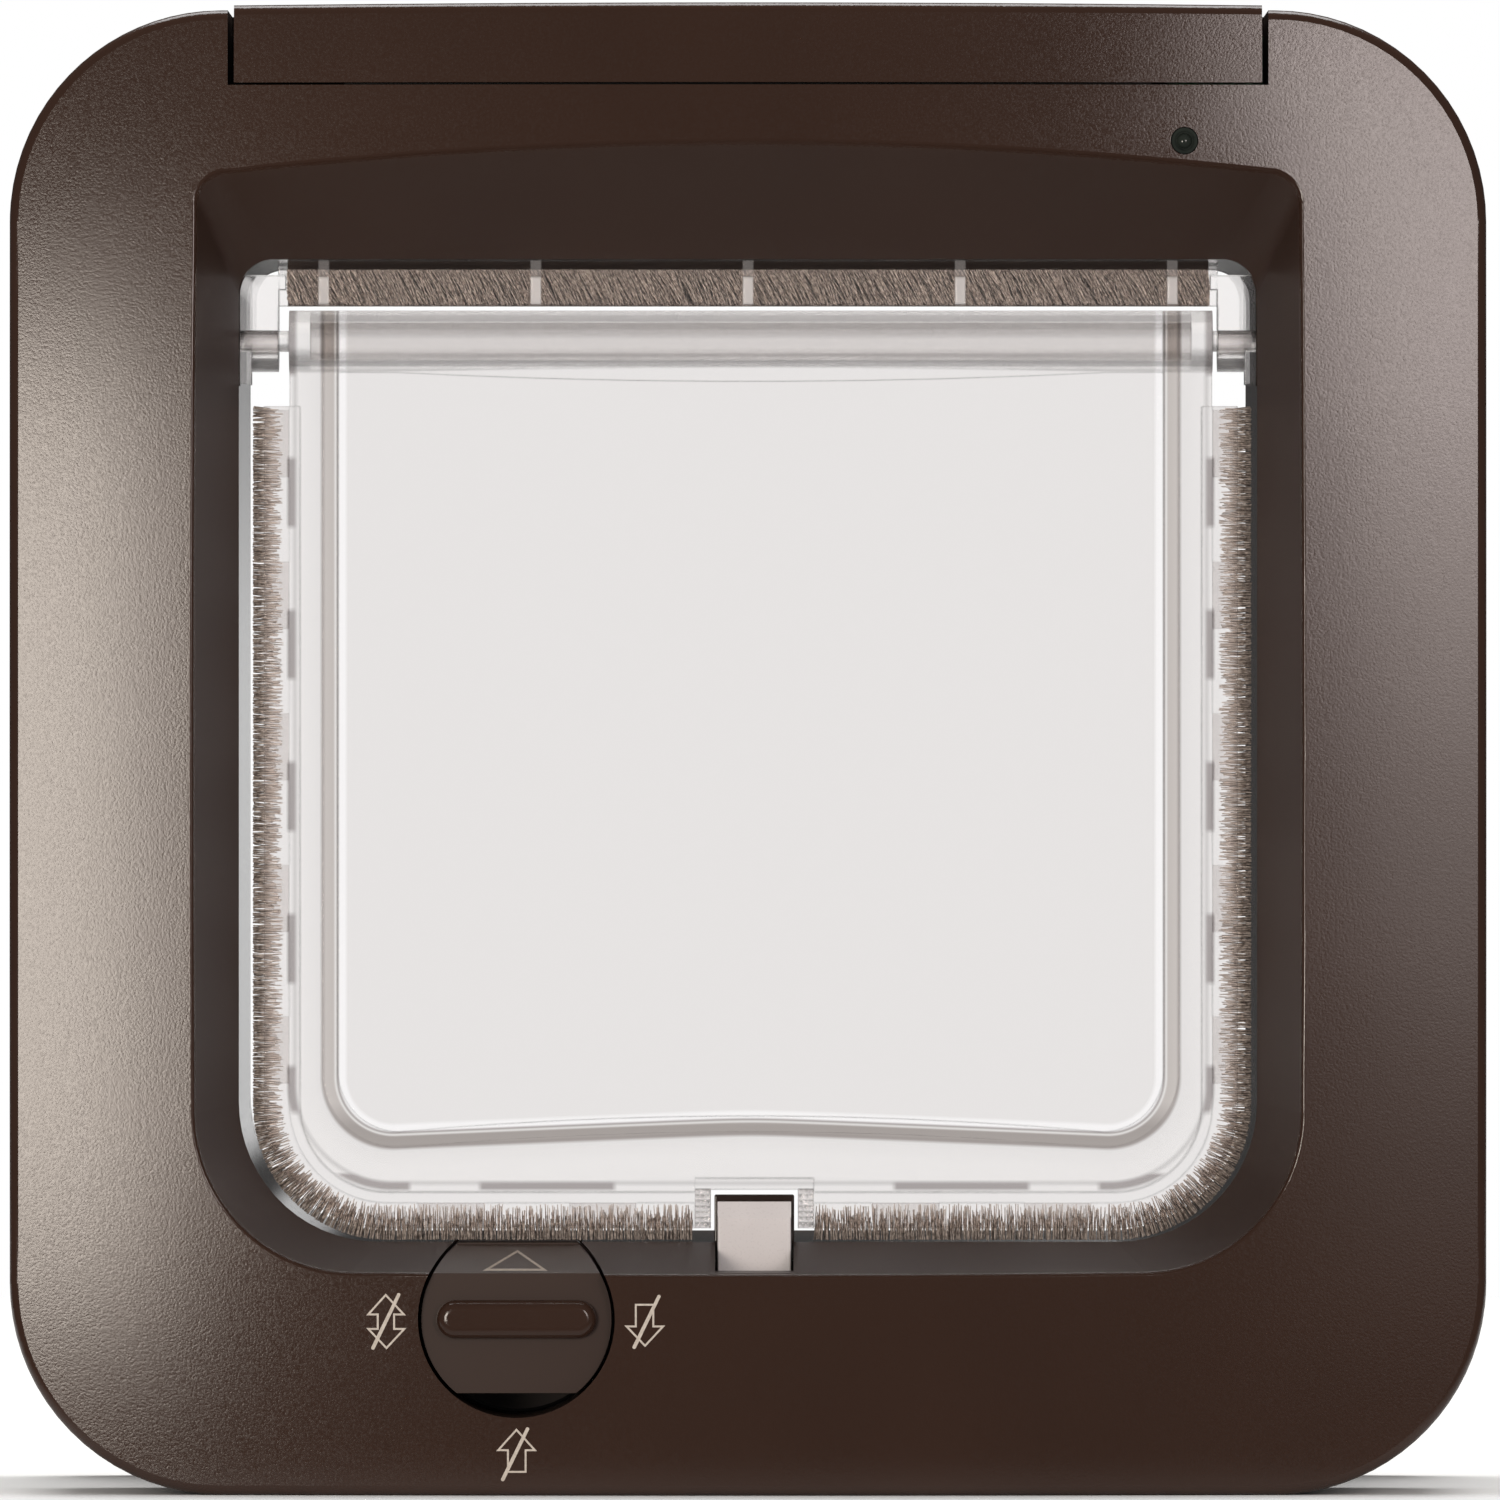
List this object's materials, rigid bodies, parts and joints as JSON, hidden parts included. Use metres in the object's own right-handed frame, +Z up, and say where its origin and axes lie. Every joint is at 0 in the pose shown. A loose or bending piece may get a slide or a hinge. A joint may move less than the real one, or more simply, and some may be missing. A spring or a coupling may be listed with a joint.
{
  "type": "cat flap",
  "caption": "Tag-reading cat flap for a door: clear swinging flap with brush seals in a brown frame, with a motor latch, a lock dial and a battery cover.",
  "frame": {"origin": "centre of the hole in the door, on the door's inner face", "axes": "+Y through the door from the room to the street, +Z up, +X to the right seen from the room"},
  "size_m": [0.21, 0.0923, 0.212],
  "materials": {
    "brown_plastic": "dark brown ABS with a fine moulded grain",
    "black_plastic": "plain black ABS",
    "clear_plastic": "clear moulded polycarbonate",
    "smoked_lens": "smoked clear lens",
    "pile": "short grey-brown brush pile",
    "grey_plastic": "light warm grey acetal",
    "white_plastic": "natural white acetal",
    "board": "green solder mask",
    "copper": "enamelled copper winding",
    "motor_can": "plated can",
    "steel": "zinc plated",
    "contact": "nickel plated",
    "cell": "plain dark sleeve"
  },
  "bodies": {
    "house": {"inner_frame": "brown_plastic", "battery_tray": "black_plastic", "small_board": "board", "light_lens": "smoked_lens", "main_board": "board", "board_screws": "steel", "rear_housing": "brown_plastic", "housing_screws": "steel", "hinge_rail": "clear_plastic", "top_pile": "pile", "latch_motor": "motor_can", "reader_coil": "copper", "coil_cover": "brown_plastic", "outer_frame": "brown_plastic", "tunnel": "brown_plastic", "cell_1": "cell", "contact_spring_1": "contact", "contact_plate_1": "contact", "mounting_screw_1": "steel", "screw_cap_1": "brown_plastic", "cell_2": "cell", "contact_spring_2": "contact", "contact_plate_2": "contact", "mounting_screw_2": "steel", "screw_cap_2": "brown_plastic", "cell_3": "cell", "contact_spring_3": "contact", "contact_plate_3": "contact", "mounting_screw_3": "steel", "screw_cap_3": "brown_plastic", "cell_4": "cell", "contact_spring_4": "contact", "contact_plate_4": "contact", "mounting_screw_4": "steel", "screw_cap_4": "brown_plastic"},
    "flap": {"flap": "clear_plastic", "flap_pile_left": "pile", "flap_pile_right": "pile"},
    "dial": {"lock_dial": "brown_plastic", "dial_washer": "steel", "dial_screw": "steel"},
    "cam": {"lift_cam": "white_plastic", "cam_shaft": "steel"},
    "latch": {"latch": "grey_plastic"},
    "cover": {"battery_cover": "brown_plastic"},
    "button": {"learn_button": "grey_plastic"}
  },
  "joints": [
    {"name": "flap_swing", "type": "hinge", "parent": "house", "child": "flap", "pos_m": [0, -0.012, 0.0588], "axis": [1, 0, 0], "range_deg": [-80, 80]},
    {"name": "dial_turn", "type": "hinge", "parent": "house", "child": "dial", "pos_m": [-0.0329, 0, -0.0805], "axis": [0, 1, 0], "range_deg": [-90, 180]},
    {"name": "cam_turn", "type": "hinge", "parent": "house", "child": "cam", "pos_m": [0.0009, 0, -0.093], "axis": [0, 1, 0], "range_deg": [0, 120]},
    {"name": "latch_lift", "type": "slide", "parent": "house", "child": "latch", "axis": [0, 0, 1], "range_m": [0, 0.0035]},
    {"name": "cover_lift", "type": "slide", "parent": "house", "child": "cover", "axis": [0, 0, 1], "range_m": [0, 0.035]},
    {"name": "learn_press", "type": "slide", "parent": "house", "child": "button", "axis": [0, 1, 0], "range_m": [0, 0.0008], "stiffness_N_per_m": 300}
  ],
  "couplings": [
    {"joint": "cam_turn", "follows": "latch_lift", "rad_per_m": 598.4}
  ]
}
